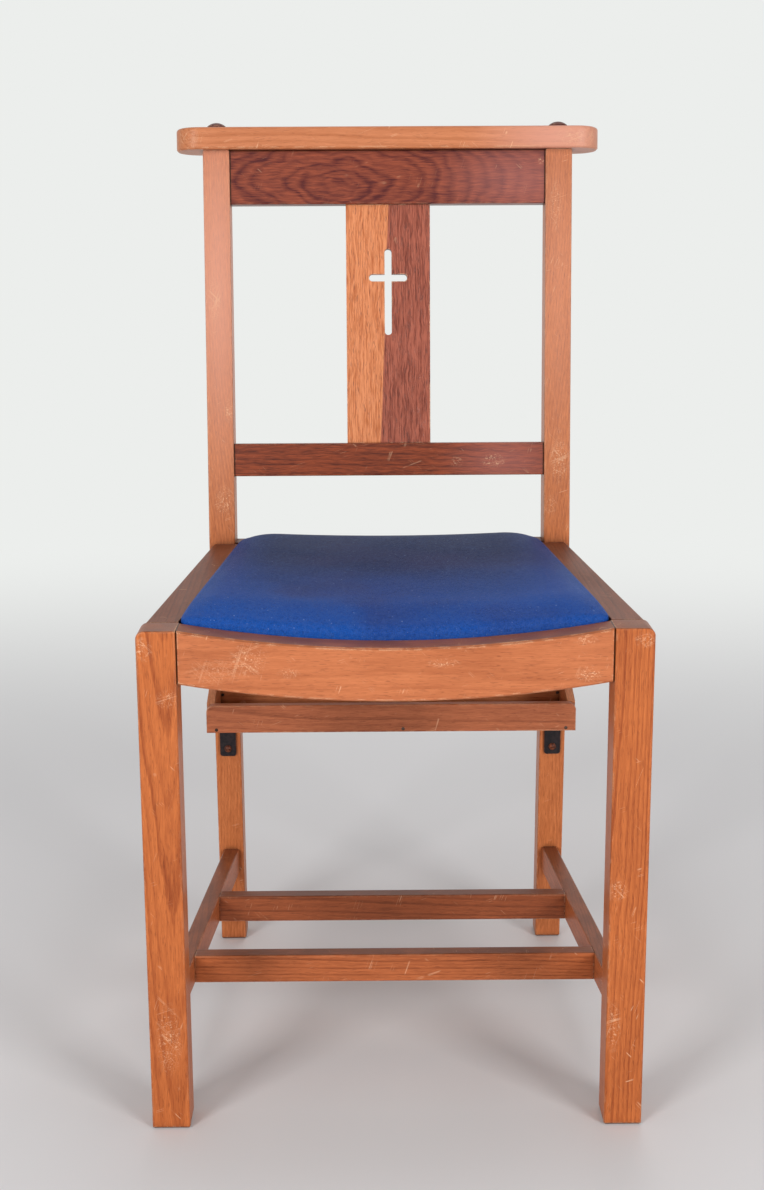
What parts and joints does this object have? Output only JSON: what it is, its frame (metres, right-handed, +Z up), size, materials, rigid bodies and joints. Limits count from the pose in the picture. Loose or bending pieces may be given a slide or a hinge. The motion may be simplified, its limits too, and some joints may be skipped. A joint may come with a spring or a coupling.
{
  "type": "choir chair",
  "caption": "Wooden choir chair with a dished, padded drop-in seat, a splat back pierced by a plain cross, a cap rail with round ends and a book tray under the seat.",
  "frame": {"origin": "on the floor, under the middle of the chair's bounding box", "axes": "+Z up; -Y is the way the sitter faces; +X is to the right as seen from in front of the chair"},
  "size_m": [0.43, 0.4671, 0.876],
  "materials": {
    "varnished_wood": "orange-brown hardwood under old gloss varnish",
    "dark_rail_wood": "dark reddish hardwood under gloss varnish",
    "cap_wood": "light orange hardwood, hand-polished varnish",
    "splat_wood": "two-tone hardwood board under gloss varnish",
    "button_wood": "dark turned hardwood",
    "tray_wood": "planed softwood under varnish",
    "hidden_wood": "bare sawn softwood",
    "plywood": "bare bent plywood",
    "foam": "open upholstery foam",
    "blue_vinyl": "blue grained vinyl sheet with a soft sheen",
    "black_steel": "black stove enamel on folded steel",
    "screw_steel": "steel screws with a film of rust",
    "nail_steel": "dull steel nails",
    "staple_steel": "bright steel wire"
  },
  "bodies": {
    "frame": {"front_leg_left": "varnished_wood", "front_leg_right": "varnished_wood", "rear_leg_left": "varnished_wood", "rear_leg_right": "varnished_wood", "front_seat_rail": "varnished_wood", "side_seat_rail_left": "varnished_wood", "side_seat_rail_right": "varnished_wood", "rear_seat_rail": "varnished_wood", "side_stretcher_left": "varnished_wood", "side_stretcher_right": "varnished_wood", "front_cross_stretcher": "varnished_wood", "rear_cross_stretcher": "varnished_wood", "upper_back_rail": "dark_rail_wood", "lower_back_rail": "dark_rail_wood", "back_splat": "splat_wood", "cap_rail": "cap_wood", "cap_button_left": "button_wood", "cap_button_right": "button_wood", "tray_lip": "tray_wood", "tray_floor": "tray_wood", "tray_back": "tray_wood", "tray_side_left": "tray_wood", "tray_side_right": "tray_wood", "seat_batten_left": "hidden_wood", "seat_batten_right": "hidden_wood", "corner_block_front_left": "hidden_wood", "corner_block_front_right": "hidden_wood", "corner_block_rear_left": "hidden_wood", "corner_block_rear_right": "hidden_wood", "tray_bracket_left": "black_steel", "tray_bracket_right": "black_steel", "cap_screws": "screw_steel", "batten_screws": "screw_steel", "corner_block_screws": "screw_steel", "bracket_leg_screws": "screw_steel", "bracket_tray_screws": "screw_steel", "tray_nails": "nail_steel"},
    "loose_seat": {"seat_board": "plywood", "seat_foam": "foam", "seat_cover": "blue_vinyl", "cover_staples": "staple_steel"}
  },
  "joints": [
    {"name": "seat_lift", "type": "slide", "parent": "frame", "child": "loose_seat", "axis": [0, 0, 1], "range_m": [0, 0.48]}
  ]
}
